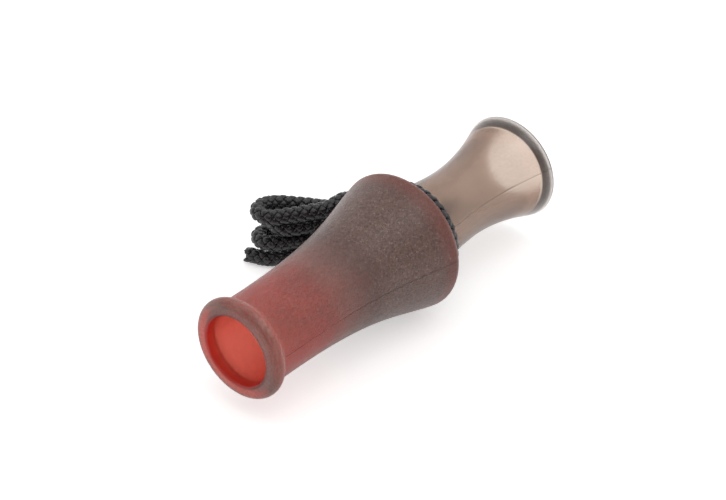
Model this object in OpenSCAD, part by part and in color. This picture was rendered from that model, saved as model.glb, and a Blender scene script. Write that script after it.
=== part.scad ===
// A hand-blown game call: a flared barrel, a bell-mouthed insert that plugs into it
// with two seal rings, a reed voice held inside, and a braided lanyard tied to the neck.
// The call lies on its widest ring with its axis along X: mouth end at -X, bell at +X.

/* [Barrel] */
// Length of the barrel, lip to rear face
barrel_l = 61.5; // [56:0.5:75]
// Outside diameter of the rolled lip at the mouth
lip_d = 26; // [24.5:0.1:30]
// Rounding of the edge where the lip's face meets the bore
lip_edge = 0.5; // [0.3:0.1:0.8]
// Bore of the mouth
bore_d = 18.2; // [17:0.1:19]
// Depth of the mouth's bore, lip included
mouth_l = 13; // [9:0.5:14]
// Widening of the air chamber behind the mouth's bore, on the radius
chamber_step = 0.3; // [0.1:0.05:0.5]
// Outside diameter of the slim tube behind the lip
tube_d = 22.3; // [21.5:0.1:23.5]
// Length of the straight tube, lip included
tube_l = 10; // [7:0.5:14]
// How far the flare keeps the line of the tube
flare_reach = 30; // [20:0.5:34]
// Widest diameter, at the rear of the barrel
belly_d = 36; // [31:0.5:42]
// Slope of the flare where it meets the rear edge, in degrees
belly_angle = 12.5; // [6:0.5:20]
// How far the flare keeps that slope
belly_reach = 12; // [8:0.5:16]
// Rounding of the rear edge
belly_edge = 2; // [1:0.1:3]
// Depth of the socket that takes the insert
socket_l = 18; // [15:0.5:22]

/* [Insert] */
// Diameter of the tenon that plugs into the barrel
tenon_d = 21.7; // [20.8:0.1:23]
// Radial clearance of the tenon in its socket
tenon_gap = 0.15; // [0.1:0.01:0.3]
// Clearance at the bottom of the socket
seat_gap = 0.3; // [0.1:0.05:0.6]
// Length of the insert behind the barrel
bell_l = 43.7; // [36:0.1:56]
// Diameter of the neck behind the barrel
neck_d = 20.9; // [20.4:0.1:21.4]
// Diameter of the waist
waist_d = 18.9; // [18:0.1:20]
// Distance of the waist behind the barrel
waist_at = 20; // [17:0.5:23]
// Outside diameter of the bell mouth
bell_d = 28.8; // [26:0.1:36]
// Slope of the bell at its mouth, in degrees
bell_angle = 21; // [15:0.5:30]
// Width of the rim at the bell mouth
rim_w = 6.4; // [5.6:0.1:7]
// Rounding of the outside of the rim
bell_edge = 2.5; // [1.6:0.1:2.6]
// Rounding of the inside of the rim
rim_edge = 0.5; // [0.3:0.1:0.8]
// Slope of the throat at the bell mouth, in degrees
throat_angle = 10; // [6:0.5:14]
// Exhaust bore through the neck
exhaust_d = 10.4; // [9.6:0.1:11]

/* [Lanyard groove] */
// Diameter at the bottom of the groove round the neck
groove_d = 19.8; // [19.2:0.1:20.4]

/* [Moulding seams] */
// Width of the seam that the mould leaves
seam_w = 0.35; // [0.2:0.05:0.6]
// Height of that seam
seam_h = 0.12; // [0.05:0.01:0.2]
// Turn of the barrel's seam above level, in degrees
barrel_seam_turn = 5.5; // [-30:0.5:30]
// Turn of the insert's seam above level, in degrees
insert_seam_turn = 20; // [-30:0.5:30]

/* [Seal rings] */
// Thickness of a seal ring
ring_d = 1.5; // [1.2:0.05:1.8]
// Clearance of a ring at the bore and at its groove
ring_gap = 0.04; // [0.02:0.01:0.08]
// Clearance of a ring beside the walls of its groove
ring_side_gap = 0.2; // [0.1:0.05:0.4]
// Distance of the first ring from the tenon's front face
ring_inset = 4.5; // [3:0.25:6]
// Spacing of the two rings
ring_pitch = 6.5; // [4:0.25:8]

/* [Voice] */
// Diameter of the plug that holds the voice in the insert
plug_d = 14.4; // [14:0.1:15.2]
// Length of the plug
plug_l = 13; // [10:0.5:14.5]
// Radial clearance of the plug
plug_gap = 0.02; // [0.01:0.01:0.05]
// Distance of the tone board's tip from the mouth
board_from_lip = 15; // [12:0.5:20]
// Diameter of the round-bellied tone board
board_d = 13.6; // [12:0.1:14]
// Height of the reed's seat above the axis
board_rise = 1.2; // [0.8:0.1:1.6]
// Angle by which the board falls away under the reed
board_fall = 2.4; // [2:0.1:3]
// Width and depth radius of the tone channel
channel_d = 4.4; // [3.4:0.1:4.6]
// Distance from the board's tip to the start of the channel
channel_inset = 7; // [5:0.5:9]
// Depth of the notch in the plug for reed and wedge
notch_l = 6; // [4:0.5:8]

/* [Reed] */
// Width of the reed
reed_w = 9; // [8:0.1:9.6]
// Thickness of the reed
reed_t = 0.35; // [0.25:0.05:0.5]
// Distance of the reed's tip behind the board's tip
reed_inset = 2; // [1:0.5:4]
// Rounding of the reed's corners
reed_corner = 2; // [1:0.1:3]
// Clearance beside the reed and the wedge in the notch
notch_gap = 0.15; // [0.1:0.05:0.3]
// Length of the wedge that locks the reed
wedge_l = 8; // [6:0.5:10]
// Height of the wedge
wedge_h = 3; // [2.4:0.1:3.4]

/* [Lanyard] */
// Diameter of the braided cord
cord_d = 4; // [3.6:0.1:4.2]
// Clearance of the cord behind the barrel
cord_gap = 0.4; // [0.3:0.05:0.8]
// Clearance of the cord in its groove
cord_seat_gap = 0.05; // [0:0.01:0.1]
// Length of the knot
knot_l = 7.8; // [7:0.1:9]
// Diameter of the knot
knot_d = 8.8; // [8.4:0.1:9.6]
// Layers in the hank
hank_layers = 4; // [3:1:4]
// Clear height between two layers of the hank
layer_gap = 0.7; // [0.65:0.05:1.2]
// Clear gap between the two runs of a layer
run_gap = 0.7; // [0.6:0.05:1.2]
// Radius of the folds, to the middle of the cord
fold_r = 3.9; // [3.7:0.1:4.4]
// Direction of the hank, in degrees from the call's axis
hank_turn = -30; // [-36:1:-26]

/* [Hidden] */

round_fn = 96;
curve_steps = 20;
arc_step = 15;
edge_break = 0.5;
call_l = barrel_l + bell_l;
axis_h = belly_d / 2;

// Radii and stations along the axis, counted from the lip
bore_r = bore_d / 2;
lip_r = lip_d / 2;
roll_r = (lip_r - bore_r) / 2;
tube_r = tube_d / 2;
belly_r = belly_d / 2;
tenon_r = tenon_d / 2;
socket_r = tenon_r + tenon_gap;
socket_s = barrel_l - socket_l;
tenon_s = socket_s + seat_gap;
neck_r = neck_d / 2;
waist_r = waist_d / 2;
waist_s = barrel_l + waist_at;
bell_r = bell_d / 2;
exhaust_r = exhaust_d / 2;
plug_r = plug_d / 2;
plug_s = tenon_s + plug_l;
groove_r = groove_d / 2;
cord_r = cord_d / 2;
loop_s = barrel_l + cord_gap + cord_r;
loop_r = groove_r + cord_seat_gap + cord_r;
cove_r = cord_r + cord_seat_gap;
ring_r = socket_r - ring_gap - ring_d / 2;
ring_bed_r = ring_r - ring_d / 2 - ring_gap;
ring_bed_w = ring_d + 2 * ring_side_gap;
ring_stations = [tenon_s + ring_inset, tenon_s + ring_inset + ring_pitch];

// A point of the cubic curve with the four control points p
function bezier_at(p, t) =
    pow(1 - t, 3) * p[0] + 3 * t * pow(1 - t, 2) * p[1] + 3 * t * t * (1 - t) * p[2] + pow(t, 3) * p[3];
function bezier(p) = [for (i = [0:curve_steps]) bezier_at(p, i / curve_steps)];
// Points of an arc about centre c from angle a to angle b, going clockwise
function arc(c, r, a, b) =
    let (n = ceil((a - b) / arc_step))
    [for (i = [0:n]) let (g = a + (b - a) * i / n) c + r * [cos(g), sin(g)]];
function ray(a) = [cos(a), sin(a)];

// Outside of the barrel, lip to rear edge, as [station, radius]
lip_back = 10;
lip_fillet = 1.6;
lip_arc = concat(arc([lip_edge, bore_r + lip_edge], lip_edge, 270, 180),
    arc([roll_r, lip_r - roll_r], roll_r, 180, lip_back));
lip_end = lip_arc[len(lip_arc) - 1];
belly_c = [barrel_l - belly_edge, belly_r - belly_edge];
belly_p = belly_c + belly_edge * ray(90 + belly_angle);
lip_run = bezier([lip_end, [lip_end[0] + lip_fillet / 8, tube_r], [lip_end[0] + lip_fillet / 2, tube_r],
    [lip_end[0] + lip_fillet, tube_r]]);
flare_run = bezier([[tube_l, tube_r], [tube_l + flare_reach, tube_r],
    belly_p - belly_reach * ray(belly_angle), belly_p]);
belly_arc = arc(belly_c, belly_edge, 90 + belly_angle, 0);
// Line of the barrel's seam: out of the lip, along the tube and up the flare
barrel_seam = concat([[roll_r, tube_r]], [for (i = [0:curve_steps - 1]) flare_run[i]],
    [(flare_run[curve_steps - 1] + belly_p) / 2]);

// Outside of the insert behind the barrel, and the inside of its bell. The ease values are the
// shares of a curve over which it keeps the line that it starts with
neck_ease = 0.35;
neck_dip = 0.15;
bell_ease = 0.37;
bell_lean = 0.26;
throat_ease = 0.29;
throat_lead = 1;
rim_outer = arc([call_l - bell_edge, bell_r - bell_edge], bell_edge, 90 + bell_angle, 0);
rim_inner = arc([call_l - rim_edge, bell_r - rim_w + rim_edge], rim_edge, 0, throat_angle - 90);
rim_out = rim_outer[0];
rim_in = rim_inner[len(rim_inner) - 1];
bell_rise = call_l - waist_s;
cove_half = acos((loop_r - neck_r) / cove_r);
cove_arc = [for (a = [-cove_half:2 * cove_half / 8:cove_half + 0.01])
    [loop_s + cove_r * sin(a), loop_r - cove_r * cos(a)]];
neck_s = loop_s + cord_r + cord_gap;
neck_run = bezier([[neck_s, neck_r], [neck_s + (waist_s - neck_s) * neck_ease, neck_r - neck_dip],
    [waist_s - (waist_s - neck_s) * neck_ease, waist_r], [waist_s, waist_r]]);
bell_run = bezier([[waist_s, waist_r], [waist_s + bell_rise * bell_ease, waist_r],
    rim_out - bell_rise * bell_lean * ray(bell_angle), rim_out]);
throat_run = bezier([rim_in, rim_in - bell_rise * bell_lean * ray(throat_angle),
    [waist_s + bell_rise * throat_ease, exhaust_r], [waist_s - throat_lead, exhaust_r]]);
// Line of the insert's seam: from behind the groove to just short of the rim
insert_seam = concat([(neck_run[0] + neck_run[1]) / 2], [for (i = [1:curve_steps]) neck_run[i]],
    [for (i = [1:curve_steps - 1]) bell_run[i]], [(bell_run[curve_steps - 1] + rim_out) / 2]);

// Voice: heights are above the axis
board_s = board_from_lip;
notch_s = tenon_s + notch_l;
reed_tip_s = board_s + reed_inset;
reed_l = notch_s - notch_gap - reed_tip_s;
wedge_s = notch_s - wedge_l;
notch_w = reed_w + 2 * notch_gap;
notch_h = reed_t + wedge_h;
// Height of the board's falling face at station s
function face_z(s) = board_rise - (notch_s - s) * tan(board_fall);
channel_s = board_s + channel_inset;
channel_cover = 0.25;
channel_z = board_rise - channel_d / 2 - channel_cover;

// Knot and lead of the lanyard
knot_x = loop_s - call_l / 2 - cord_r + knot_d / 2;
knot_stand = 0.8;
knot_round = 0.9;
knot_y = loop_r + knot_l / 2 + knot_stand;
knot_core = knot_l / 2 - knot_round;
lead_end = [knot_x, knot_y + knot_core, axis_h];

// Hank: u runs along it from its open end, v across it and z up. The open folds are those that
// show beside the barrel, and the inner folds lie behind it. Lists go by layer, from the floor up
hank_from = [-4.1, 36.8];
fold_left = [9, 4.4, 8.1, 3.7];
fold_right = [45, 41, 33];
open_mid = [0, 2.2, 0.2, 0.2];
inner_mid = [2.6, -2, -1.2];
fold_roll = [0, -5, -8, -4];
climb_l = [13, 13, 11, 24];
draw_l = 7.5;
cut_at = [-2.4, 3.2];
cut_turn = -20;
cut_pull = 5;
tail_pull = 11;
lead_from = 12;
lead_drift = -1.5;
lead_rise = 0.6;
run_steps = 8;
layer_step = cord_d + layer_gap;
run_half = (cord_d + run_gap) / 2;
top_layer = hank_layers - 1;
function hank_place(u, v, z) =
    let (a = hank_turn)
    [hank_from[0] + u * cos(a) - v * sin(a), hank_from[1] + u * sin(a) + v * cos(a), z];
function layer_z(j) = cord_r + j * layer_step;
// Smooth share from 0 to 1
function ease(t) = (1 - cos(180 * max(0, min(1, t)))) / 2;
// A run bellies out into the fold at each of its ends, a and b
function half_width(u, a, b) =
    fold_r - (fold_r - run_half) * ease((u - a) / draw_l) * ease((b - u) / draw_l);
// Place on the run between open fold j and inner fold k, in front (side -1) or behind (side 1)
function run_place(u, j, k, side) =
    let (w = side * half_width(u, fold_left[j], fold_right[k]), g = ease((u - fold_left[j]) / climb_l[j]),
        q = fold_roll[j] * (1 - g))
    hank_place(u, open_mid[j] + (inner_mid[k] - open_mid[j]) * g + w * cos(q),
        layer_z(j) - (j - k) * layer_step * g + w * sin(q));
function between(a, b) = [for (i = [0:run_steps - 1]) a + (b - a) * i / run_steps];
function inner_fold(j) = [for (g = between(-90, 90))
    hank_place(fold_right[j] + fold_r * cos(g), inner_mid[j] + fold_r * sin(g), layer_z(j))];
function open_fold(j) = [for (g = between(90, 270)) let (q = fold_roll[j])
    hank_place(fold_left[j] + fold_r * cos(g), open_mid[j] + fold_r * sin(g) * cos(q),
        layer_z(j) + fold_r * sin(g) * sin(q))];
// The cut end lies out on the floor under the open folds
tail_v = inner_mid[0] - fold_r;
tail_run = [for (t = between(0, 1)) let (p = bezier_at([cut_at, cut_at + cut_pull * ray(cut_turn),
    [fold_left[0] - tail_pull, tail_v], [fold_left[0], tail_v]], t)) hank_place(p[0], p[1], layer_z(0))];
floor_run = [for (u = between(fold_left[0], fold_right[0])) hank_place(u, tail_v, layer_z(0))];
// The top layer's front run drifts over to the knot
function lead_place(u) =
    let (j = top_layer, f = ease((u - fold_left[j]) / (lead_from - fold_left[j])), q = fold_roll[j])
    hank_place(u, open_mid[j] - fold_r * cos(q) + lead_drift * f,
        layer_z(j) - fold_r * sin(q) + lead_rise * f);
hank_along = [cos(hank_turn), sin(hank_turn), 0];
hank_end = lead_place(lead_from) + cord_r * hank_along;
hank_route = concat(tail_run, floor_run,
    [for (j = [0:top_layer - 1]) each concat(
        j == 0 ? [] : [for (u = between(fold_left[j], fold_right[j])) run_place(u, j, j, -1)],
        inner_fold(j),
        [for (u = between(fold_right[j], fold_left[j + 1])) run_place(u, j + 1, j, 1)],
        open_fold(j + 1))],
    [for (u = between(fold_left[top_layer], lead_from)) lead_place(u)], [lead_place(lead_from), hank_end]);
lead_pull = 0.7 * cord_d;
lead_out = hank_end + cord_r * hank_along;
lead_in = lead_end + [0, cord_r, 0];
lead_curve = [lead_out, lead_out + lead_pull * hank_along, lead_in + [0, lead_pull, 0], lead_in];
lead_route = concat([hank_end], [for (i = [0:5]) bezier_at(lead_curve, i / 5)], [lead_end]);

// Least clear gap between parts of a route that lie more than three diameters apart along it
function route_marks(p, i = 0, l = 0) =
    i == len(p) ? [] : concat([l], route_marks(p, i + 1, i + 1 < len(p) ? l + norm(p[i + 1] - p[i]) : l));
function least_gap(p, d) =
    let (m = route_marks(p))
    min([for (i = [0:len(p) - 1]) for (j = [i + 1:1:len(p) - 1])
        if (m[j] - m[i] > 3 * d) norm(p[j] - p[i])]) - d;
hank_marks = route_marks(hank_route);
echo(hank_gap = least_gap(hank_route, cord_d), hank_length = hank_marks[len(hank_marks) - 1]);

// Tube of diameter d with flat ends along route p
function unit(v) = v / norm(v);
function heading(p, i) = unit(p[min(i + 1, len(p) - 1)] - p[max(i - 1, 0)]);
function tube_points(p, d, sides) =
    [for (i = [0:len(p) - 1]) let (t = heading(p, i), n = unit(cross([0, 0, 1], t)), b = cross(t, n))
        for (k = [0:sides - 1]) p[i] + d / 2 * (cos(360 * k / sides) * n + sin(360 * k / sides) * b)];
function tube_faces(rings, sides) = concat(
    [for (i = [0:rings - 2]) for (k = [0:sides - 1]) let (a = i * sides, q = (k + 1) % sides)
        each [[a + k, a + sides + k, a + q], [a + q, a + sides + k, a + sides + q]]],
    [for (k = [1:sides - 2]) [0, k, k + 1]],
    [for (k = [1:sides - 2]) let (a = (rings - 1) * sides) [a, a + k + 1, a + k]]);
module tube(p, d, sides) {
    polyhedron(tube_points(p, d, sides), tube_faces(len(p), sides));
}

// Stands its children, made along Z from the lip, on the call's axis
module on_axis() {
    translate([-call_l / 2, 0, axis_h])
    rotate([0, 90, 0])
    children();
}

// Turns a closed outline of [station, radius] points round the axis
module turned(outline) {
    rotate_extrude($fn = round_fn)
    polygon([for (p = outline) [p[1], p[0]]]);
}

// Fine ridge on both sides where the halves of the mould met, seam_w wide where it is slimmest
module seam(run, turn) {
    spread = seam_w / min([for (p = run) p[1]]) * 180 / PI;
    for (side = [0, 180])
        rotate(side - 90 - turn - spread / 2)
        rotate_extrude(angle = spread, $fn = round_fn)
        polygon(concat([for (p = run) [p[1] + seam_h, p[0]]],
            [for (i = [len(run) - 1:-1:0]) [run[i][1] - seam_h - seam_w, run[i][0]]]));
}

module barrel() {
    color("#7d5049")
    on_axis() {
        turned(concat(lip_arc, lip_run, flare_run, belly_arc, [
            [barrel_l, socket_r + edge_break],
            [barrel_l - edge_break, socket_r],
            [socket_s, socket_r],
            [socket_s, bore_r + chamber_step],
            [mouth_l + chamber_step, bore_r + chamber_step],
            [mouth_l, bore_r]]));
        seam(barrel_seam, barrel_seam_turn);
    }
}

module insert() {
    beds = [for (s = ring_stations) each [
        [s - ring_bed_w / 2, tenon_r],
        [s - ring_bed_w / 2, ring_bed_r],
        [s + ring_bed_w / 2, ring_bed_r],
        [s + ring_bed_w / 2, tenon_r]]];
    color("#a8958a")
    on_axis() {
        turned(concat([
            [tenon_s, plug_r + plug_gap],
            [tenon_s, tenon_r - edge_break],
            [tenon_s + edge_break, tenon_r]],
            beds, [
            [barrel_l, tenon_r],
            [barrel_l, neck_r]],
            cove_arc, neck_run, [for (i = [1:curve_steps - 1]) bell_run[i]], rim_outer,
            rim_inner, [for (i = [1:curve_steps]) throat_run[i]], [
            [plug_s, exhaust_r],
            [plug_s, plug_r + plug_gap]]));
        seam(insert_seam, insert_seam_turn);
    }
}

// Cut of width w between two stations, from the falling face up to a height
module cut_across(from, to, top, w) {
    rotate([90, 0, 0])
    linear_extrude(w, center = true)
    polygon([[from, face_z(from)], [to, face_z(to)], [to, top], [from, top]]);
}

// Round plug with a half-round board in front of it; the flat of the board falls away
// from the tail of the reed, and a channel leads the air under the reed into the bore.
module tone_board() {
    color("#d8d2c4")
    translate([-call_l / 2, 0, axis_h])
    difference() {
        union() {
            translate([tenon_s, 0, 0])
            rotate([0, 90, 0])
            cylinder(h = plug_l, d = plug_d, $fn = round_fn);
            translate([board_s, 0, 0])
            rotate([0, 90, 0])
            cylinder(h = tenon_s - board_s + plug_l / 2, d = board_d, $fn = round_fn);
        }
        // Face of the board, falling from the plug to past the tip
        cut_across(board_s - 1, tenon_s, board_d, 2 * board_d);
        // Notch for the reed's tail and the wedge
        cut_across(tenon_s - 1, notch_s, board_rise + notch_h, notch_w);
        // Tone channel: open over the board, a round hole through the plug
        translate([channel_s, 0, channel_z])
        rotate([0, 90, 0])
        cylinder(h = call_l, d = channel_d, $fn = round_fn);
        translate([channel_s, -channel_d / 2, channel_z])
        cube([tenon_s - channel_s, channel_d, board_d]);
    }
}

// Thin strip with a round-cornered tip
module reed() {
    corner = min(reed_corner, reed_w / 2 - 0.1);
    tip = concat(
        [for (a = [180:arc_step:270]) [corner, corner - reed_w / 2] + corner * ray(a)],
        [[reed_l, -reed_w / 2], [reed_l, reed_w / 2]],
        [for (a = [90:arc_step:180]) [corner, reed_w / 2 - corner] + corner * ray(a)]);
    color("#e9e4d2")
    translate([reed_tip_s - call_l / 2, 0, axis_h + board_rise])
    linear_extrude(reed_t)
    polygon(tip);
}

// Wedge that locks the reed: full height in the notch, tapered where it faces the mouth
module reed_wedge() {
    color("#2b2b2b")
    translate([wedge_s - call_l / 2, reed_w / 2, axis_h + board_rise + reed_t])
    rotate([90, 0, 0])
    linear_extrude(reed_w)
    polygon([[0, 0], [wedge_l, 0], [wedge_l, wedge_h], [wedge_l - notch_l, wedge_h], [0, wedge_h / 2]]);
}

module seal_ring(s) {
    color("#1c1c1e")
    on_axis()
    translate([0, 0, s])
    rotate_extrude($fn = round_fn)
    translate([ring_r, 0])
    circle(d = ring_d, $fn = 32);
}

module o_ring_front() {
    seal_ring(ring_stations[0]);
}

module o_ring_rear() {
    seal_ring(ring_stations[1]);
}

module lanyard_neck_loop() {
    color("#232426")
    on_axis()
    translate([0, 0, loop_s])
    rotate_extrude($fn = round_fn)
    translate([loop_r, 0])
    circle(d = cord_d, $fn = 32);
}

// Two wraps of cord drawn tight round the lead
module lanyard_knot() {
    color("#232426")
    translate([knot_x, knot_y, axis_h])
    rotate([-90, 0, 0])
    rotate_extrude($fn = round_fn) {
        for (end = [-1, 1])
            translate([knot_d / 2 - cord_r, end * (knot_l / 2 - cord_r)])
            circle(d = cord_d, $fn = 32);
        translate([0, -knot_core])
        square([knot_d / 2 - cord_r, 2 * knot_core]);
    }
}

module lanyard_lead() {
    color("#232426")
    tube(lead_route, cord_d, 8);
}

module lanyard_hank() {
    color("#232426")
    tube(hank_route, cord_d, 6);
}

barrel();
insert();
tone_board();
reed();
reed_wedge();
o_ring_front();
o_ring_rear();
lanyard_neck_loop();
lanyard_knot();
lanyard_lead();
lanyard_hank();
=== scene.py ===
import math

import bpy
import numpy as np
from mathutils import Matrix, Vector


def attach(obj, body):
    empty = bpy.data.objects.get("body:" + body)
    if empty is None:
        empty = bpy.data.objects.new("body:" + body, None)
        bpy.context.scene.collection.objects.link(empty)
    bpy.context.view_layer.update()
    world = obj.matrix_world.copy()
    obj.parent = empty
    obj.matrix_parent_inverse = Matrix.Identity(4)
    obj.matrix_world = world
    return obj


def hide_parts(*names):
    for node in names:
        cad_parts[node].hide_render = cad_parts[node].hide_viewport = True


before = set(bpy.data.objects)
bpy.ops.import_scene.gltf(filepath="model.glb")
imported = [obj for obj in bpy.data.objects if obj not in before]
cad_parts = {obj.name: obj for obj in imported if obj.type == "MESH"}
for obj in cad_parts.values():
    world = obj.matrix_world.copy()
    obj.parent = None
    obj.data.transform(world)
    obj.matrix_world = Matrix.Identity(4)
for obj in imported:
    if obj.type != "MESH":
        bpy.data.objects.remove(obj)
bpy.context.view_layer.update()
mm = 0.001  # lengths below are in mm, apart from the camera's and the studio's
axisHeight = 18.0  # the call's axis above the floor
midStation = 52.6  # station of x = 0, counted from the lip
print("stage: frame loaded")

# Camera

view = {
    "place": (-0.37264, -0.30724, 0.34796),
    "along": (0.63271, 0.53168, -0.56303),
    "focalPixels": 2400,
    "imageWidth": 726,
    "sensorWidth": 36,
}
camera = bpy.data.objects.new("camera", bpy.data.cameras.new("camera"))
camera.data.sensor_width = view["sensorWidth"]
camera.data.lens = view["sensorWidth"] * view["focalPixels"] / view["imageWidth"]
camera.location = view["place"]
camera.rotation_euler = Vector(view["along"]).to_track_quat("-Z", "Y").to_euler()
bpy.context.scene.collection.objects.link(camera)
bpy.context.scene.camera = camera
print("stage: camera set")

# Mesh helpers


def meshPiece(name, points, faces, body, replaced, slot):
    mesh = bpy.data.meshes.new(name)
    mesh.from_pydata((np.asarray(points) * mm).tolist(), [], faces)
    mesh.update()
    piece = bpy.data.objects.new(name, mesh)
    bpy.context.scene.collection.objects.link(piece)
    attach(piece, body)
    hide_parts(*replaced)
    return piece


def smooth(piece, degrees):
    piece.data.shade_smooth()
    piece.data.set_sharp_from_angle(angle=math.radians(degrees))


def unit(v):
    return v / np.linalg.norm(v, axis=-1, keepdims=True)


def bezier(controls, steps):
    p0, p1, p2, p3 = (np.asarray(p, float) for p in controls)
    t = np.linspace(0, 1, steps + 1)[:, None]
    return (1 - t) ** 3 * p0 + 3 * t * (1 - t) ** 2 * p1 + 3 * t**2 * (1 - t) * p2 + t**3 * p3


def arc(centre, radius, start, end, steps):
    a = np.radians(np.linspace(start, end, steps + 1))
    return np.column_stack((centre[0] + radius * np.cos(a), centre[1] + radius * np.sin(a)))


def ray(degrees):
    return np.array([math.cos(math.radians(degrees)), math.sin(math.radians(degrees))])


# Lanyard

cord = {
    "diameter": 4.0,
    "plies": 4,  # strands that turn each way
    "lay": 8.8,  # length of one full turn of a strand
    "strandWidth": 1.5,
    "strandHeight": 0.74,
    "squareness": (0.75, 0.9),  # powers that flatten a strand's section, up and across
    "rise": 0.28,  # how far a strand swings out and in
    "briskness": 2,  # how sharply it swings
    "swell": 0.1,  # how much wider it is on top
    "fullness": 1.03,
    "wander": (0.05, 1.7, 2.3),  # size, pace and offset, so that no two strands lie quite alike
    "coreDiameter": 2.2,
    "sample": 0.3,  # spacing of the rings along a strand
    "sides": 10,
    "softPasses": 40,
    "sideHint": (0.31, 0.52, 0.8),  # no cord starts in this direction
    "pathEvery": 6,  # rings from one point of the cord's path to the next
    "sharpFrom": 60,
}
hank = {
    "from": (-4.1, 36.8),
    "turn": -30,  # direction of the runs on the floor
    "foldLeft": (9, 4.4, 8.1, 3.7),  # places of the folds along the runs
    "foldRight": (45, 41, 33),
    "openMid": (0, 2.2, 0.2, 0.2),  # middles of the folds across the runs, left and right
    "innerMid": (2.6, -2, -1.2),
    "roll": (0, -5, -8, -4),  # lean of each left fold
    "climb": (13, 13, 11, 24),  # stretch after a left fold in which the cord changes its layer
    "draw": 7.5,  # stretch in which a run narrows from its fold
    "foldRadius": 3.9,
    "runGap": 0.7,
    "layerGap": 0.7,
    "cut": (-2.4, 3.2),  # the cut end and the way it lies
    "cutTurn": -20,
    "cutPull": 5,
    "tailPull": 11,
    "leadFrom": 12,  # where the cord leaves the top layer for the knot
    "leadDrift": -1.5,
    "leadRise": 0.6,
    "leadPull": 2.8,
    "leadSteps": 16,
    "steps": 32,
}
knot = {
    "place": (13.7, 16.65, 18.0),
    "length": 7.8,
    "diameter": 8.8,
    "turns": 2.15,
    "leadInset": 0.9,  # how deep the lead runs into it
    "steps": 160,
}
loop = {"x": 11.7, "radius": 12.25, "lays": 8, "steps": 220}


def ease(t):
    return (1 - np.cos(math.pi * np.clip(t, 0, 1))) / 2


def hankRoute(h, d):
    along = ray(h["turn"])
    across = np.array([-along[1], along[0]])
    r, runHalf = h["foldRadius"], (d + h["runGap"]) / 2
    step = d + h["layerGap"]
    top = len(h["foldRight"])
    left, right, openMid, innerMid = h["foldLeft"], h["foldRight"], h["openMid"], h["innerMid"]

    def place(u, v, z):  # u along the runs, v across them
        u, v, z = np.broadcast_arrays(u, v, z)
        return np.column_stack((np.array(h["from"]) + u[:, None] * along + v[:, None] * across, z))

    def layer(j):
        return d / 2 + j * step

    def stretch(a, b):
        return np.linspace(a, b, h["steps"], endpoint=False)

    def run(u, j, k, side):
        belly = ease((u - left[j]) / h["draw"]) * ease((right[k] - u) / h["draw"])
        w = side * (r - (r - runHalf) * belly)
        gone = ease((u - left[j]) / h["climb"][j])
        q = np.radians(h["roll"][j]) * (1 - gone)
        v = openMid[j] + (innerMid[k] - openMid[j]) * gone + w * np.cos(q)
        return place(u, v, layer(j) - (j - k) * step * gone + w * np.sin(q))

    def fold(u, mid, j, angles, roll):
        g, q = np.radians(angles), math.radians(roll)
        out = r * np.sin(g)
        return place(u + r * np.cos(g), mid + out * math.cos(q), layer(j) + out * math.sin(q))

    tailEnd = np.array([left[0], innerMid[0] - r])
    cut = np.array(h["cut"])
    tail = bezier(
        (cut, cut + h["cutPull"] * ray(h["cutTurn"]), tailEnd - [h["tailPull"], 0], tailEnd),
        h["steps"],
    )[:-1]
    rows = [
        place(tail[:, 0], tail[:, 1], layer(0)),
        place(stretch(left[0], right[0]), tailEnd[1], layer(0)),
    ]
    for j in range(top):
        if j:
            rows.append(run(stretch(left[j], right[j]), j, j, -1))
        rows.append(fold(right[j], innerMid[j], j, stretch(-90, 90), 0))
        rows.append(run(stretch(right[j], left[j + 1]), j + 1, j, 1))
        rows.append(fold(left[j + 1], openMid[j + 1], j + 1, stretch(90, 270), h["roll"][j + 1]))
    u = np.linspace(left[top], h["leadFrom"], h["steps"])
    drift = ease((u - left[top]) / (h["leadFrom"] - left[top]))
    q = math.radians(h["roll"][top])
    v = openMid[top] - r * math.cos(q) + h["leadDrift"] * drift
    rows.append(place(u, v, layer(top) - r * math.sin(q) + h["leadRise"] * drift))
    rows.append(rows[-1][-1:] + d / 2 * np.append(along, 0))
    return np.vstack(rows)


def leadRoute(start, h, k, d):
    along = np.append(ray(h["turn"]), 0)
    out = start + d / 2 * along
    end = np.array(k["place"]) + [0, k["length"] / 2 - k["leadInset"], 0]
    into = end + [0, d / 2, 0]
    pull = h["leadPull"]
    return np.vstack((bezier((out, out + pull * along, into + [0, pull, 0], into), h["leadSteps"]), end))


def evenly(points, spacing):
    marks = np.append(0, np.cumsum(np.linalg.norm(np.diff(points, axis=0), axis=1)))
    count = max(2, round(marks[-1] / spacing))
    at = np.linspace(0, marks[-1], count + 1)
    return np.column_stack([np.interp(at, marks, points[:, i]) for i in range(3)]), at


def softened(points, passes):
    for _ in range(passes):
        points = points.copy()
        points[1:-1] = (points[:-2] + 2 * points[1:-1] + points[2:]) / 4
    return points


def carried(points, hint):  # frames that follow the cord without twisting
    along = unit(np.gradient(points, axis=0))
    side = np.zeros_like(points)
    side[0] = unit(np.cross(along[0], hint))
    for i in range(1, len(points)):
        side[i] = unit(side[i - 1] - along[i] * np.dot(side[i - 1], along[i]))
    return side, np.cross(along, side)


def tubeFaces(rings, sides, first, closed):
    quads = []
    for i in range(rings if closed else rings - 1):
        a, b = first + i * sides, first + (i + 1) % rings * sides
        quads += [(a + k, a + (k + 1) % sides, b + (k + 1) % sides, b + k) for k in range(sides)]
    if not closed:
        last = first + (rings - 1) * sides
        quads += [tuple(first + k for k in reversed(range(sides))), tuple(last + k for k in range(sides))]
    return quads


def squared(wave, power):
    return np.sign(wave) * np.abs(wave) ** power


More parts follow.
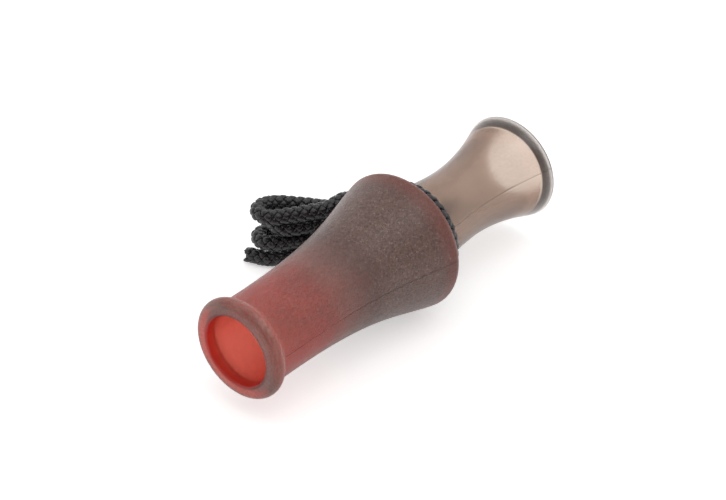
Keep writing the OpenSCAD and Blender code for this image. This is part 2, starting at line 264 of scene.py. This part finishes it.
def braid(points, at, frames, c, lay, closed=False):
    side, up = frames
    turn = 2 * math.pi * at / lay
    reach = c["fullness"] * c["diameter"] / 2 - c["strandHeight"] / 2 - c["rise"]
    spin = np.linspace(0, 2 * math.pi, c["sides"], endpoint=False)
    tall = c["strandHeight"] / 2 * squared(np.cos(spin), c["squareness"][0])[None, :, None]
    broad = c["strandWidth"] / 2 * squared(np.sin(spin), c["squareness"][1])[None, :, None]
    wanderSize, wanderPace, wanderOffset = c["wander"]
    meshes, faces, total = [], [], 0
    for way in (1, -1):
        for ply in range(c["plies"]):
            place = way * turn + 2 * math.pi * ply / c["plies"]
            out = np.cos(place)[:, None] * side + np.sin(place)[:, None] * up
            weave = way * np.tanh(c["briskness"] * np.cos(c["plies"] * turn))
            wander = wanderSize * np.sin(wanderPace * at + wanderOffset * ply + way)
            middle = points + (reach + c["rise"] * weave + wander)[:, None] * out
            run = unit(np.gradient(middle, axis=0))
            flat = unit(np.cross(run, out))
            swell = (1 + c["swell"] * weave)[:, None, None]
            ring = middle[:, None] + tall * out[:, None] + swell * broad * flat[:, None]
            meshes.append(ring.reshape(-1, 3))
            faces += tubeFaces(len(points), c["sides"], total, closed)
            total += ring.shape[0] * c["sides"]
    cosine, sine = np.cos(spin)[None, :, None], np.sin(spin)[None, :, None]
    core = points[:, None] + c["coreDiameter"] / 2 * (cosine * side[:, None] + sine * up[:, None])
    meshes.append(core.reshape(-1, 3))
    faces += tubeFaces(len(points), c["sides"], total, closed)
    return np.vstack(meshes), faces


hankPoints = hankRoute(hank, cord["diameter"])
leadPoints = leadRoute(hankPoints[-1], hank, knot, cord["diameter"])
cordPath, cordMarks = evenly(np.vstack((hankPoints, leadPoints))[::-1], cord["sample"])
cordPath = softened(cordPath, cord["softPasses"])
lanyardCord = meshPiece(
    "lanyard_cord",
    *braid(cordPath, cordMarks, carried(cordPath, cord["sideHint"]), cord, cord["lay"]),
    "insert_body",
    ("lanyard_hank", "lanyard_lead"),
    "braided_cord",
)

ringTurn = np.linspace(0, 2 * math.pi, loop["steps"], endpoint=False)
ringOut = np.column_stack((np.zeros_like(ringTurn), np.cos(ringTurn), np.sin(ringTurn)))
ringAlong = np.column_stack((np.zeros_like(ringTurn), -np.sin(ringTurn), np.cos(ringTurn)))
lanyardLoop = meshPiece(
    "lanyard_loop",
    *braid(
        np.array([loop["x"], 0, axisHeight]) + loop["radius"] * ringOut,
        loop["radius"] * ringTurn,
        (ringOut, np.cross(ringAlong, ringOut)),
        cord,
        2 * math.pi * loop["radius"] / loop["lays"],
        closed=True,
    ),
    "insert_body",
    ("lanyard_neck_loop",),
    "braided_cord",
)

wrapReach = (knot["diameter"] - cord["diameter"]) / 2
wrapTurn = np.linspace(0, knot["turns"], knot["steps"])
wrapAngle = 2 * math.pi * wrapTurn + math.pi
wrapRoute = np.array(knot["place"]) + np.column_stack((
    wrapReach * np.cos(wrapAngle),
    (knot["length"] - cord["diameter"]) * (wrapTurn / knot["turns"] - 0.5),
    wrapReach * np.sin(wrapAngle),
))
wrapPath, wrapMarks = evenly(wrapRoute, cord["sample"])
lanyardKnot = meshPiece(
    "lanyard_knot_wraps",
    *braid(wrapPath, wrapMarks, carried(wrapPath, cord["sideHint"]), cord, cord["lay"]),
    "insert_body",
    ("lanyard_knot",),
    "braided_cord",
)
braidedPieces = (lanyardCord, lanyardLoop, lanyardKnot)
for piece in braidedPieces:
    smooth(piece, cord["sharpFrom"])
print("stage: lanyard braided,", round(cordMarks[-1], 1), "mm of free cord")

# Turned bodies

turning = {"steps": 180, "seamWidth": 0.35, "seamSteps": 9, "sharpFrom": 32}


def lathe(name, outline, seam, body, replaced, slot):
    outline = np.asarray(outline)
    around = np.linspace(0, 360, turning["steps"], endpoint=False)
    half = math.degrees(turning["seamWidth"] / 2 / outline[:, 1].min())
    offsets = half * np.linspace(-1, 1, turning["seamSteps"])
    centres = np.array([seam["turn"], seam["turn"] + 180])

    def fromSeam(angles):
        return np.abs((angles[:, None] - centres[None] + 180) % 360 - 180).min(1)

    around = np.sort(np.concatenate([around[fromSeam(around) > half], *(c + offsets for c in centres)]))
    crest = np.clip(1 - (fromSeam(around) / half) ** 2, 0, 1)
    s, r = outline[:, :1], outline[:, 1:]
    onSeam = (s >= seam["from"]) & (s <= seam["to"]) & (r > seam["beyond"])
    r = r + np.where(onSeam, seam["height"], 0) * crest[None]
    a = np.radians(around)[None]
    points = np.stack(np.broadcast_arrays(s - midStation, -r * np.cos(a), axisHeight + r * np.sin(a)), -1)
    rows, columns = r.shape
    faces = []
    for i in range(rows):
        j = (i + 1) % rows
        for k in range(columns):
            q = (k + 1) % columns
            faces.append((i * columns + k, j * columns + k, j * columns + q, i * columns + q))
    piece = meshPiece(name, points.reshape(-1, 3), faces, body, replaced, slot)
    smooth(piece, turning["sharpFrom"])
    return piece


barrelForm = {
    "length": 61.5,
    "lip": 13.0,
    "lipEdge": 0.5,
    "bore": 9.1,
    "mouth": 13.0,
    "chamber": 9.4,
    "tube": 11.15,
    "tubeEnd": 10.0,
    "flareReach": 30.0,
    "belly": 18.0,
    "bellyAngle": 12.5,
    "bellyReach": 12.0,
    "bellyEdge": 2.0,
    "socket": 11.0,
    "socketFrom": 43.5,
    "edgeBreak": 0.5,
    "lipBack": 10,
    "lipFillet": 1.6,
    "filletPulls": (0.125, 0.5, 1),
    "seam": {"turn": 5.5, "from": 5.6, "to": 58.5, "beyond": 11.1, "height": 0.12},
    "steps": {"edge": 10, "lip": 30, "fillet": 10, "tube": 5, "flare": 72, "rear": 14},
}


def barrelOutline(b):
    steps = b["steps"]
    roll = (b["lip"] - b["bore"]) / 2
    inner = arc((b["lipEdge"], b["bore"] + b["lipEdge"]), b["lipEdge"], 270, 180, steps["edge"])
    lip = np.vstack((inner, arc((roll, b["lip"] - roll), roll, 180, b["lipBack"], steps["lip"])))
    back = lip[-1]
    fillet = bezier(
        (back, *((back[0] + pull * b["lipFillet"], b["tube"]) for pull in b["filletPulls"])),
        steps["fillet"],
    )
    tubeStations = np.linspace(fillet[-1][0], b["tubeEnd"], steps["tube"] + 1)
    tube = np.column_stack((tubeStations, np.full_like(tubeStations, b["tube"])))
    edge = np.array([b["length"] - b["bellyEdge"], b["belly"] - b["bellyEdge"]])
    top = edge + b["bellyEdge"] * ray(90 + b["bellyAngle"])
    flare = bezier(
        (
            (b["tubeEnd"], b["tube"]),
            (b["tubeEnd"] + b["flareReach"], b["tube"]),
            top - b["bellyReach"] * ray(b["bellyAngle"]),
            top,
        ),
        steps["flare"],
    )
    rear = arc(edge, b["bellyEdge"], 90 + b["bellyAngle"], 0, steps["rear"])
    inside = [
        (b["length"], b["socket"] + b["edgeBreak"]),
        (b["length"] - b["edgeBreak"], b["socket"]),
        (b["socketFrom"], b["socket"]),
        (b["socketFrom"], b["chamber"]),
        (b["mouth"] + b["chamber"] - b["bore"], b["chamber"]),
        (b["mouth"], b["bore"]),
    ]
    return np.vstack((lip, fillet[1:], tube[1:], flare[1:], rear[1:], inside))


barrel = lathe(
    "barrel_shell",
    barrelOutline(barrelForm),
    barrelForm["seam"],
    "barrel_body",
    ("barrel",),
    "barrel_plastic",
)

insertForm = {
    "tenonFrom": 43.8,
    "tenon": 10.85,
    "plugBore": 7.22,
    "plugTo": 56.8,
    "edgeBreak": 0.5,
    "shoulder": 61.5,
    "neck": 10.45,
    "groove": (63.9, 11.95, 2.05),  # station and radius of the cord's centre, radius of the cove
    "neckFrom": 66.3,
    "neckPull": 0.35,
    "neckDip": 0.15,
    "waist": 9.45,
    "waistAt": 81.5,
    "end": 104.65,
    "bell": 13.95,
    "bellAngle": 21,
    "bellPull": 0.37,
    "bellLean": 0.26,
    "rim": 5.2,
    "rimEdge": 0.5,
    "rimInner": 0.5,
    "dish": (23.5, 1.35),  # slope and width of the band inside the rim
    "throatAngle": 13,
    "throatPull": 0.29,
    "throatLead": 1,
    "exhaust": 5.2,
    "ringBeds": ((48.3, 9.42), (54.8, 9.42)),
    "ringBedWidth": 1.9,
    "seam": {"turn": 20, "from": 66.4, "to": 101.5, "beyond": 9.4, "height": 0.05},
    "steps": {"groove": 24, "neck": 32, "rim": 20, "rimInner": 8, "bell": 48, "throat": 48},
}


def insertOutline(f):
    steps = f["steps"]
    at, reach, cove = f["groove"]
    half = math.degrees(math.acos((reach - f["neck"]) / cove))
    groove = arc((at, reach), cove, -90 - half, half - 90, steps["groove"])
    gap = f["waistAt"] - f["neckFrom"]
    neck = bezier(
        (
            (f["neckFrom"], f["neck"]),
            (f["neckFrom"] + f["neckPull"] * gap, f["neck"] - f["neckDip"]),
            (f["waistAt"] - f["neckPull"] * gap, f["waist"]),
            (f["waistAt"], f["waist"]),
        ),
        steps["neck"],
    )
    outer, inner = f["rimEdge"], f["rimInner"]
    slope, width = f["dish"]
    rim = arc((f["end"] - outer, f["bell"] - outer), outer, 90 + f["bellAngle"], -slope, steps["rim"])
    foot = rim[-1] + width * ray(-90 - slope)
    lipCentre = (foot[0] - inner, f["bell"] - f["rim"] + inner)
    edge = np.vstack((rim, foot, arc(lipCentre, inner, 0, f["throatAngle"] - 90, steps["rimInner"])))
    rise = f["end"] - f["waistAt"]
    lean = f["bellLean"] * rise
    waist = np.array([f["waistAt"], f["waist"]])
    bell = bezier(
        (waist, waist + [f["bellPull"] * rise, 0], edge[0] - lean * ray(f["bellAngle"]), edge[0]),
        steps["bell"],
    )
    throat = bezier(
        (
            edge[-1],
            edge[-1] - lean * ray(f["throatAngle"]),
            (f["waistAt"] + f["throatPull"] * rise, f["exhaust"]),
            (f["waistAt"] - f["throatLead"], f["exhaust"]),
        ),
        steps["throat"],
    )
    beds = []
    w = f["ringBedWidth"] / 2
    for s, r in f["ringBeds"]:
        beds += [(s - w, f["tenon"]), (s - w, r), (s + w, r), (s + w, f["tenon"])]
    front = [
        (f["tenonFrom"], f["plugBore"]),
        (f["tenonFrom"], f["tenon"] - f["edgeBreak"]),
        (f["tenonFrom"] + f["edgeBreak"], f["tenon"]),
    ]
    shoulder = [(f["shoulder"], f["tenon"]), (f["shoulder"], f["neck"])]
    inside = [(f["plugTo"], f["exhaust"]), (f["plugTo"], f["plugBore"])]
    return np.vstack((front, beds, shoulder, groove, neck, bell[1:], edge[1:], throat[1:], inside))


insert = lathe(
    "insert_shell",
    insertOutline(insertForm),
    insertForm["seam"],
    "insert_body",
    ("insert",),
    "smoke_plastic",
)
print("stage: bodies turned")

# Material helpers

seamMark = {"core": 0.3, "fade": 0.4}  # solid share of a seam line's width, and length of its faded end
dotCore = 0.6  # solid share of a dot
grainDepth = 0.0002  # of every relief, in metres


def material(name):
    m = bpy.data.materials.new(name)
    m.use_nodes = True
    return m, m.node_tree, m.node_tree.nodes["Principled BSDF"]


def node(tree, kind, **values):
    n = tree.nodes.new(kind)
    for key, value in values.items():
        if key in n.inputs:
            n.inputs[key].default_value = value
        else:
            setattr(n, key, value)
    return n


def feed(tree, value, socket):  # a link, a colour or a number
    if isinstance(value, bpy.types.NodeSocket):
        tree.links.new(value, socket)
    elif isinstance(value, tuple):
        socket.default_value = (*value, 1)
    else:
        socket.default_value = value


def placed(tree):
    return node(tree, "ShaderNodeTexCoord").outputs["Object"]


def apart(tree):
    n = node(tree, "ShaderNodeSeparateXYZ")
    tree.links.new(placed(tree), n.inputs["Vector"])
    return n.outputs


def fromAxis(tree):
    flat = node(tree, "ShaderNodeVectorMath", operation="MULTIPLY_ADD")
    flat.inputs[1].default_value = (0, 1, 1)
    flat.inputs[2].default_value = (0, 0, -axisHeight * mm)
    tree.links.new(placed(tree), flat.inputs[0])
    size = node(tree, "ShaderNodeVectorMath", operation="LENGTH")
    tree.links.new(flat.outputs["Vector"], size.inputs[0])
    return size.outputs["Value"]


def reckon(tree, operation, *values):
    n = node(tree, "ShaderNodeMath", operation=operation)
    for socket, value in zip(n.inputs, values):
        feed(tree, value, socket)
    return n.outputs["Value"]


def times(tree, first, second):
    return reckon(tree, "MULTIPLY", first, second)


def larger(tree, first, second):
    return reckon(tree, "MAXIMUM", first, second)


def between(tree, value, low, high, toLow, toHigh, blend="SMOOTHSTEP"):
    n = node(tree, "ShaderNodeMapRange", interpolation_type=blend)
    for key, number in (("From Min", low), ("From Max", high), ("To Min", toLow), ("To Max", toHigh)):
        n.inputs[key].default_value = number
    tree.links.new(value, n.inputs["Value"])
    return n.outputs["Result"]


def stationed(tree, low, high, toLow, toHigh, blend="SMOOTHSTEP"):
    low, high = (low - midStation) * mm, (high - midStation) * mm
    return between(tree, apart(tree)["X"], low, high, toLow, toHigh, blend)


def noise(tree, scale, detail):
    n = node(tree, "ShaderNodeTexNoise", Scale=scale, Detail=detail)
    tree.links.new(placed(tree), n.inputs["Vector"])
    return n.outputs["Fac"]


def dots(tree, scale, size):
    n = node(tree, "ShaderNodeTexVoronoi", Scale=scale)
    tree.links.new(placed(tree), n.inputs["Vector"])
    return between(tree, n.outputs["Distance"], dotCore * size, size, 1, 0)


def ramp(tree, factor, *stops):
    n = node(tree, "ShaderNodeValToRGB")
    while len(n.color_ramp.elements) < len(stops):
        n.color_ramp.elements.new(0.5)
    for element, (at, colour) in zip(n.color_ramp.elements, stops):
        element.position = at
        element.color = (*colour, 1)
    tree.links.new(factor, n.inputs["Fac"])
    return n.outputs["Color"]


def shares(tree, factor, *stops):
    return ramp(tree, factor, *((at, (share,) * 3) for at, share in stops))


def clouded(tree, scale, detail, *stops):
    return ramp(tree, noise(tree, scale, detail), *stops)


def shaded(tree, share, under, over):
    n = node(tree, "ShaderNodeMix", data_type="RGBA")
    for key, value in (("Factor", share), ("A", under), ("B", over)):
        feed(tree, value, n.inputs[key])
    return n.outputs["Result"]


def relief(tree, scale, detail, strength):
    n = node(tree, "ShaderNodeBump", Distance=grainDepth)
    feed(tree, strength, n.inputs["Strength"])
    tree.links.new(noise(tree, scale, detail), n.inputs["Height"])
    return n.outputs["Normal"]


def seamLine(tree, turn, width, outside):
    at = apart(tree)
    lean = math.radians(turn)
    up = reckon(tree, "SUBTRACT", at["Z"], axisHeight * mm)
    across = reckon(tree, "ADD", times(tree, at["Y"], math.sin(lean)), times(tree, up, math.cos(lean)))
    near = between(tree, reckon(tree, "ABSOLUTE", across), seamMark["core"] * width * mm, width * mm, 1, 0)
    aside = reckon(tree, "ABSOLUTE", at["Y"])
    return times(tree, near, between(tree, aside, outside * mm, (outside + seamMark["fade"]) * mm, 0, 1))


def clearBody(tree, clear, ior, tint, density):
    clear.inputs["Base Color"].default_value = (1, 1, 1, 1)
    clear.inputs["Transmission Weight"].default_value = 1.0
    clear.inputs["IOR"].default_value = ior
    volume = node(tree, "ShaderNodeVolumeAbsorption", Density=density)
    volume.inputs["Color"].default_value = (*tint, 1)
    tree.links.new(volume.outputs["Volume"], tree.nodes["Material Output"].inputs["Volume"])


def hazed(tree, clear, haze, share):
    mix = node(tree, "ShaderNodeMixShader")
    tree.links.new(share, mix.inputs["Fac"])
    tree.links.new(clear.outputs["BSDF"], mix.inputs[1])
    tree.links.new(haze.outputs["BSDF"], mix.inputs[2])
    tree.links.new(mix.outputs["Shader"], tree.nodes["Material Output"].inputs["Surface"])


def dress(piece, m):
    piece.data.materials.clear()
    piece.data.materials.append(m)


# Finishes
# A span is (from, to, value before, value after), and noise is (scale, detail)

barrelFinish = {  # places along the barrel are shares of its length
    "ior": 1.46,
    "tint": (0.93, 0.2, 0.06),
    "density": 1000,
    "clearRough": (0.06, 0.1, 0.42, 0.46),
    "hazeRough": 0.37,
    "skin": (9.5, 10.2),  # radii between which the bore's look changes to the outside's
    "coarse": (0.03, 0.12, 0.5, 1),  # the dots are weaker on the lip
    "wide": (0.3, 0.6, 0, 1),  # from the tube to the wide part
    "pits": (1500, 0.26),  # scale and size of the dots
    "pitColour": (0.03, 0.016, 0.013),
    "pitStrength": 0.8,
    "pitHaze": 0.3,
    # pale dots on the outside: painted glints, standing in for highlights on the grain
    "paintedGlints": (1150, 0.26),
    "paintedGlintSpan": (0.2, 0.5, 0, 1),
    "paintedGlintColour": (0.36, 0.31, 0.285),
    "paintedGlintStrength": 0.55,
    "paintedGlintHaze": 0.36,
    "pale": (160, 4, (0.3, (0.44, 0.29, 0.235)), (0.7, (0.56, 0.385, 0.32))),  # the tube's dust
    "deep": (1500, 2, (0.35, (0.113, 0.064, 0.052)), (0.65, (0.188, 0.107, 0.089))),  # the wide part's
    "glow": (0.89, 0.97, 0, 0.7),  # redder towards the rear edge: a painted glow of light shining through the thin edge
    "paintedGlowColour": (0.36, 0.1, 0.07),
    "dust": ((0.06, 0.3), (0.1, 0.15), (0.34, 0.17), (0.68, 0.82), (0.87, 0.82), (0.965, 0.5)),
    "mottle": (1700, 2),
    "mottleStrength": (0.38, 0.62, -0.36, 0.36),
    "mottleSpan": (0.2, 0.5, 1, 0.35),
    "line": (0.15, 10.2),  # half width of the seam's line, and how far to the side it starts
    "lineSpan": (0.07, 0.085, 0, 1),
    "lineColour": (0.05, 0.02, 0.016),
    "lineHaze": 0.5,
    "boreHazeAndShade": (0.02, 0.1, 0.45, 0.22),  # haze on the bore, from the lip inwards; thicker and dark near the lip, which is painted shade
    "boreShadeSpan": (0.02, 0.1, 0, 1),
    "boreShadeAndHazeColours": ((0.13, 0.025, 0.02), (0.56, 0.1, 0.07)),
    "grain": (2000, 2),
    "grainStrength": 0.35,
}


def barrelPlastic(look):
    m, tree, clear = material("barrel_plastic")
    station = stationed(tree, 0, barrelForm["length"], 0, 1, "LINEAR")
    radius = fromAxis(tree)
    skin = [edge * mm for edge in look["skin"]]
    outer = between(tree, radius, *skin, 0, 1)
    inner = between(tree, radius, *skin, 1, 0)
    wide = between(tree, station, *look["wide"])
    clearBody(tree, clear, look["ior"], look["tint"], look["density"])
    tree.links.new(between(tree, station, *look["clearRough"]), clear.inputs["Roughness"])

    grained = times(tree, between(tree, station, *look["coarse"]), outer)
    pits = times(tree, dots(tree, *look["pits"]), grained)
    # pale dots that paint glints onto the grain
    paintedGlints = times(tree, dots(tree, *look["paintedGlints"]), grained)
    points = times(tree, paintedGlints, between(tree, station, *look["paintedGlintSpan"]))
    line = times(
        tree,
        seamLine(tree, barrelForm["seam"]["turn"], *look["line"]),
        between(tree, station, *look["lineSpan"]),
    )
    colour = shaded(tree, wide, clouded(tree, *look["pale"]), clouded(tree, *look["deep"]))
    # painted glow: a red haze colour towards the rear edge, for light shining through the thin edge
    colour = shaded(tree, between(tree, station, *look["glow"]), colour, look["paintedGlowColour"])
    # painted glints: pale dots mixed into the haze colour
    colour = shaded(tree, times(tree, points, look["paintedGlintStrength"]), colour, look["paintedGlintColour"])
    colour = shaded(tree, times(tree, pits, look["pitStrength"]), colour, look["pitColour"])
    colour = shaded(tree, line, colour, look["lineColour"])
    # the bore's haze colour: dark near the lip as painted shade, coral further in
    bore = shaded(tree, between(tree, station, *look["boreShadeSpan"]), *look["boreShadeAndHazeColours"])
    haze = node(tree, "ShaderNodeBsdfPrincipled", Roughness=look["hazeRough"])
    tree.links.new(shaded(tree, outer, bore, colour), haze.inputs["Base Color"])
    bumps = relief(tree, *look["grain"], times(tree, wide, look["grainStrength"]))
    tree.links.new(bumps, haze.inputs["Normal"])

    mottle = between(tree, noise(tree, *look["mottle"]), *look["mottleStrength"])
    mottle = times(tree, mottle, between(tree, station, *look["mottleSpan"]))
    dust = times(tree, shares(tree, station, *look["dust"]), reckon(tree, "ADD", mottle, 1))
    # a thicker haze share near the lip carries the painted shade in the bore
    boreHazeAndShade = times(tree, inner, between(tree, station, *look["boreHazeAndShade"]))
    share = reckon(tree, "ADD", times(tree, dust, outer), boreHazeAndShade)
    # the painted glints raise the haze share too, as the dark dots do
    grain = larger(tree, times(tree, pits, look["pitHaze"]), times(tree, paintedGlints, look["paintedGlintHaze"]))
    marks = larger(tree, times(tree, line, look["lineHaze"]), grain)
    hazed(tree, clear, haze, larger(tree, share, marks))
    return m


smokeFinish = {  # places along the insert are stations
    "ior": 1.57,
    "tint": (0.52, 0.28, 0.085),
    "density": 190,
    "clearRough": (103.4, 103.9, 0.22, 0.28),  # the end face is duller
    "hazeRough": 0.5,
    "cloud": (90, 3, (0.35, (0.37, 0.27, 0.235)), (0.65, (0.45, 0.33, 0.29))),
    "veil": (1800, 3),
    "veilShares": ((0.3, 0.08), (0.7, 0.16)),
    "veilSpan": (97, 102, 1, 0.4),  # clearer towards the rim
    "line": (0.13, 8.2),
    "lineSpan": (66.2, 66.6, 0, 1),
    "lineColour": (0.07, 0.05, 0.045),
    "lineHaze": 0.55,
    "grain": (2600, 2, 0.06),
}


def smokePlastic(look):
    m, tree, clear = material("smoke_plastic")
    clearBody(tree, clear, look["ior"], look["tint"], look["density"])
    tree.links.new(stationed(tree, *look["clearRough"]), clear.inputs["Roughness"])
    tree.links.new(relief(tree, *look["grain"]), clear.inputs["Normal"])
    line = times(
        tree,
        seamLine(tree, insertForm["seam"]["turn"], *look["line"]),
        stationed(tree, *look["lineSpan"]),
    )
    colour = shaded(tree, line, clouded(tree, *look["cloud"]), look["lineColour"])
    haze = node(tree, "ShaderNodeBsdfPrincipled", Roughness=look["hazeRough"])
    tree.links.new(colour, haze.inputs["Base Color"])
    veil = shares(tree, noise(tree, *look["veil"]), *look["veilShares"])
    veil = times(tree, veil, stationed(tree, *look["veilSpan"]))
    hazed(tree, clear, haze, larger(tree, veil, times(tree, line, look["lineHaze"])))
    return m


def plainFinish(name, cloud, rough, grain):
    m, tree, skin = material(name)
    tree.links.new(clouded(tree, *cloud), skin.inputs["Base Color"])
    skin.inputs["Roughness"].default_value = rough
    tree.links.new(relief(tree, *grain), skin.inputs["Normal"])
    return m


yarnFinish = {
    "cloud": (2200, 3, (0.3, (0.005, 0.005, 0.006)), (0.7, (0.026, 0.024, 0.029))),
    "rough": 0.27,
    "grain": (4000, 2, 0.4),
}
innerGrain = (2500, 2, 0.1)
innerCloud = (300, 3)
innerFinishes = {  # the pieces inside: darkest and lightest colour, roughness, nodes
    "ivory_plastic": ((0.66, 0.6, 0.46), (0.72, 0.66, 0.52), 0.4, ("tone_board",)),
    "reed_film": ((0.75, 0.7, 0.55), (0.8, 0.76, 0.62), 0.3, ("reed",)),
    "wedge_cork": ((0.03, 0.03, 0.03), (0.05, 0.05, 0.05), 0.7, ("reed_wedge",)),
    "black_rubber": ((0.012, 0.012, 0.013), (0.022, 0.022, 0.024), 0.5, ("o_ring_front", "o_ring_rear")),
}

dress(barrel, barrelPlastic(barrelFinish))
dress(insert, smokePlastic(smokeFinish))
yarn = plainFinish("braided_cord", yarnFinish["cloud"], yarnFinish["rough"], yarnFinish["grain"])
for piece in braidedPieces:
    dress(piece, yarn)
for name, (low, high, rough, nodeNames) in innerFinishes.items():
    finish = plainFinish(name, (*innerCloud, (0.3, low), (0.7, high)), rough, innerGrain)
    for nodeName in nodeNames:
        dress(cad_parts[nodeName], finish)
print("stage: materials given")

# Studio

studioLight = {
    "floorHalf": 3.0,
    "floorColour": (0.8, 0.8, 0.8),
    "floorRough": 0.9,
    "floorGlow": 0.5,  # as the camera, gloss and clear plastic see it
    "tent": ((0.45, (1, 1, 1)), (0.85, (0.15, 0.105, 0.09))),  # white cloth, dim towards its open front
    "lampPlace": (-0.15, -0.35, 0.85),
    "lampAim": (0, 0, 0.02),
    "lampSize": 0.8,
    "lampPower": 3,
}


def studioFloor(look):
    half = look["floorHalf"]
    mesh = bpy.data.meshes.new("floor")
    corners = [(-half, -half, 0), (half, -half, 0), (half, half, 0), (-half, half, 0)]
    mesh.from_pydata(corners, [], [(0, 1, 2, 3)])
    floor = bpy.data.objects.new("floor", mesh)
    bpy.context.scene.collection.objects.link(floor)
    m, tree, skin = material("floor_white")
    skin.inputs["Base Color"].default_value = (*look["floorColour"], 1)
    skin.inputs["Roughness"].default_value = look["floorRough"]
    skin.inputs["Specular IOR Level"].default_value = 0.0
    skin.inputs["Emission Color"].default_value = (1, 1, 1, 1)
    path = node(tree, "ShaderNodeLightPath").outputs
    direct = reckon(tree, "ADD", path["Is Camera Ray"], path["Is Glossy Ray"])
    direct = reckon(tree, "ADD", direct, path["Is Transmission Ray"])
    glow = times(tree, reckon(tree, "MINIMUM", direct, 1), look["floorGlow"])
    tree.links.new(glow, skin.inputs["Emission Strength"])
    dress(floor, m)


def studioTent(look):
    world = bpy.data.worlds.new("studio")
    world.use_nodes = True
    tree = world.node_tree
    facing = node(tree, "ShaderNodeVectorMath", operation="DOT_PRODUCT")
    facing.inputs[1].default_value = -Vector(view["along"])
    tree.links.new(node(tree, "ShaderNodeTexCoord").outputs["Generated"], facing.inputs[0])
    tent = ramp(tree, facing.outputs["Value"], *look["tent"])
    direct = node(tree, "ShaderNodeLightPath").outputs["Is Camera Ray"]
    tree.links.new(shaded(tree, direct, tent, (1, 1, 1)), tree.nodes["Background"].inputs["Color"])
    bpy.context.scene.world = world


def studioLamp(look):
    light = bpy.data.lights.new("overhead", "AREA")
    light.size = look["lampSize"]
    light.energy = look["lampPower"]
    lamp = bpy.data.objects.new("overhead", light)
    lamp.location = look["lampPlace"]
    lamp.rotation_euler = (Vector(look["lampAim"]) - lamp.location).to_track_quat("-Z", "Y").to_euler()
    bpy.context.scene.collection.objects.link(lamp)


studioFloor(studioLight)
studioTent(studioLight)
studioLamp(studioLight)
bpy.context.scene.view_settings.view_transform = "Standard"
print("stage: studio lit")
